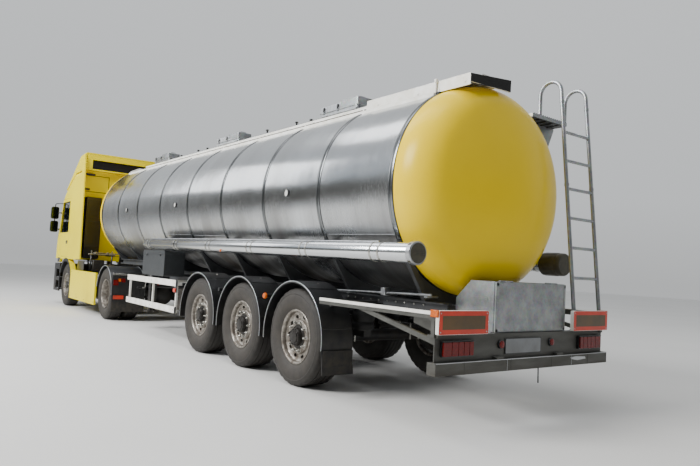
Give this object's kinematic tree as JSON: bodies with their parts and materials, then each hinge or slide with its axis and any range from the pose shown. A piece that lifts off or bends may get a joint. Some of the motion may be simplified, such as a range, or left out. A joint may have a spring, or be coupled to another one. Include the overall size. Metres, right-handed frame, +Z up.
{
  "type": "articulated tanker truck",
  "caption": "Articulated tanker truck: tractor with tilting cab and steered wheels, hinged at the fifth wheel to a round steel tank trailer with lidded manholes, walkway, ladder and cabinet.",
  "frame": {"origin": "on the road under the middle of the vehicle's box", "axes": "+X forward, +Y to the driver's left, +Z up"},
  "size_m": [14.72, 2.96, 3.7998],
  "materials": {
    "stainless": "polished",
    "yellow_paint": "gloss",
    "cab_paint": "gloss",
    "cream_paint": "satin",
    "dark_paint": "satin",
    "silver_paint": "satin",
    "bare_metal": "brushed",
    "marker_board": "reflective sheet",
    "lamp_red": "clear",
    "black_plastic": "matte",
    "grey_plastic": "matte",
    "cast_iron": "rough",
    "glass": "clear",
    "fabric": "woven",
    "tyre_rubber": "matte"
  },
  "bodies": {
    "trailer": {"tank_barrel": "stainless", "tank_ends": "yellow_paint", "walkway": "cream_paint", "manlid_bases": "bare_metal", "ladder": "cream_paint", "hose_tubes": "bare_metal", "trailer_frame": "dark_paint", "trailer_axles": "dark_paint", "trailer_fenders": "black_plastic", "rear_bumper": "dark_paint", "marker_boards": "marker_board", "trailer_lamps": "lamp_red", "cabinet": "bare_metal", "side_guards": "cream_paint", "valve_boxes": "grey_plastic", "landing_legs": "dark_paint", "spare_wheel": "tyre_rubber"},
    "tractor": {"tractor_frame": "dark_paint", "fifth_wheel": "dark_paint", "engine": "cast_iron", "tractor_axles": "dark_paint", "drive_fenders": "black_plastic", "side_skirts": "cab_paint", "front_bumper": "cab_paint", "tractor_lamps": "lamp_red"},
    "cab": {"cab_shell": "cab_paint", "windscreen": "glass", "air_deflectors": "cab_paint", "intake_stack": "black_plastic", "seats": "fabric", "dashboard": "black_plastic", "mirrors": "black_plastic"},
    "door_left": {"door_left": "cab_paint"},
    "door_right": {"door_right": "cab_paint"},
    "knuckle_left": {"knuckle_left": "dark_paint"},
    "knuckle_right": {"knuckle_right": "dark_paint"},
    "lid_rear": {"lid_rear": "bare_metal"},
    "lid_middle": {"lid_middle": "bare_metal"},
    "lid_front": {"lid_front": "bare_metal"},
    "cabinet_door": {"cabinet_door": "bare_metal"},
    "wheel_trailer_1_left": {"tyre_trailer_1_left": "tyre_rubber", "rim_trailer_1_left": "silver_paint"},
    "wheel_trailer_1_right": {"tyre_trailer_1_right": "tyre_rubber", "rim_trailer_1_right": "silver_paint"},
    "wheel_trailer_2_left": {"tyre_trailer_2_left": "tyre_rubber", "rim_trailer_2_left": "silver_paint"},
    "wheel_trailer_2_right": {"tyre_trailer_2_right": "tyre_rubber", "rim_trailer_2_right": "silver_paint"},
    "wheel_trailer_3_left": {"tyre_trailer_3_left": "tyre_rubber", "rim_trailer_3_left": "silver_paint"},
    "wheel_trailer_3_right": {"tyre_trailer_3_right": "tyre_rubber", "rim_trailer_3_right": "silver_paint"},
    "wheel_drive_left": {"tyres_drive_left": "tyre_rubber", "rims_drive_left": "silver_paint"},
    "wheel_front_left": {"tyre_front_left": "tyre_rubber", "rim_front_left": "silver_paint"},
    "wheel_drive_right": {"tyres_drive_right": "tyre_rubber", "rims_drive_right": "silver_paint"},
    "wheel_front_right": {"tyre_front_right": "tyre_rubber", "rim_front_right": "silver_paint"}
  },
  "joints": [
    {"name": "fifth_wheel_swing", "type": "hinge", "parent": "trailer", "child": "tractor", "pos_m": [2.93, 0, 1.15], "axis": [0, 0, 1], "range_deg": [-90, 90]},
    {"name": "wheel_trailer_1_left_spin", "type": "hinge", "parent": "trailer", "child": "wheel_trailer_1_left", "pos_m": [-5.12, 1.03, 0.53], "axis": [0, 1, 0], "continuous": true},
    {"name": "wheel_trailer_1_right_spin", "type": "hinge", "parent": "trailer", "child": "wheel_trailer_1_right", "pos_m": [-5.12, -1.03, 0.53], "axis": [0, 1, 0], "continuous": true},
    {"name": "wheel_trailer_2_left_spin", "type": "hinge", "parent": "trailer", "child": "wheel_trailer_2_left", "pos_m": [-3.81, 1.03, 0.53], "axis": [0, 1, 0], "continuous": true},
    {"name": "wheel_trailer_2_right_spin", "type": "hinge", "parent": "trailer", "child": "wheel_trailer_2_right", "pos_m": [-3.81, -1.03, 0.53], "axis": [0, 1, 0], "continuous": true},
    {"name": "wheel_trailer_3_left_spin", "type": "hinge", "parent": "trailer", "child": "wheel_trailer_3_left", "pos_m": [-2.5, 1.03, 0.53], "axis": [0, 1, 0], "continuous": true},
    {"name": "wheel_trailer_3_right_spin", "type": "hinge", "parent": "trailer", "child": "wheel_trailer_3_right", "pos_m": [-2.5, -1.03, 0.53], "axis": [0, 1, 0], "continuous": true},
    {"name": "wheel_drive_left_spin", "type": "hinge", "parent": "tractor", "child": "wheel_drive_left", "pos_m": [2.38, 0.9025, 0.53], "axis": [0, 1, 0], "continuous": true},
    {"name": "steer_left", "type": "hinge", "parent": "tractor", "child": "knuckle_left", "pos_m": [5.98, 0.9, 0.53], "axis": [0, 0, 1], "range_deg": [-38, 38]},
    {"name": "wheel_front_left_spin", "type": "hinge", "parent": "knuckle_left", "child": "wheel_front_left", "pos_m": [5.98, 1.07, 0.53], "axis": [0, 1, 0], "continuous": true},
    {"name": "wheel_drive_right_spin", "type": "hinge", "parent": "tractor", "child": "wheel_drive_right", "pos_m": [2.38, -0.9025, 0.53], "axis": [0, 1, 0], "continuous": true},
    {"name": "steer_right", "type": "hinge", "parent": "tractor", "child": "knuckle_right", "pos_m": [5.98, -0.9, 0.53], "axis": [0, 0, 1], "range_deg": [-38, 38]},
    {"name": "wheel_front_right_spin", "type": "hinge", "parent": "knuckle_right", "child": "wheel_front_right", "pos_m": [5.98, -1.07, 0.53], "axis": [0, 1, 0], "continuous": true},
    {"name": "cab_tilt", "type": "hinge", "parent": "tractor", "child": "cab", "pos_m": [7.28, 0, 1.148], "axis": [0, 1, 0], "range_deg": [0, 60]},
    {"name": "door_left_swing", "type": "hinge", "parent": "cab", "child": "door_left", "pos_m": [6.973, 1.245, 1.565], "axis": [0, 0, -1], "range_deg": [0, 70]},
    {"name": "door_right_swing", "type": "hinge", "parent": "cab", "child": "door_right", "pos_m": [6.973, -1.245, 1.565], "axis": [0, 0, 1], "range_deg": [0, 70]},
    {"name": "lid_rear_swing", "type": "hinge", "parent": "trailer", "child": "lid_rear", "pos_m": [-4.04107, 0.225, 3.36289], "axis": [0, 1, 0], "range_deg": [0, 100]},
    {"name": "lid_middle_swing", "type": "hinge", "parent": "trailer", "child": "lid_middle", "pos_m": [-0.76107, 0.225, 3.40783], "axis": [0, 1, 0], "range_deg": [0, 100]},
    {"name": "lid_front_swing", "type": "hinge", "parent": "trailer", "child": "lid_front", "pos_m": [2.47393, 0.225, 3.45215], "axis": [0, 1, 0], "range_deg": [0, 100]},
    {"name": "cabinet_door_swing", "type": "hinge", "parent": "trailer", "child": "cabinet_door", "pos_m": [-7.24285, -0.0965, 1.2623], "axis": [0, 1, 0], "range_deg": [0, 90]}
  ],
  "couplings": [
    {"joint": "steer_right", "follows": "steer_left", "ratio": 1}
  ]
}
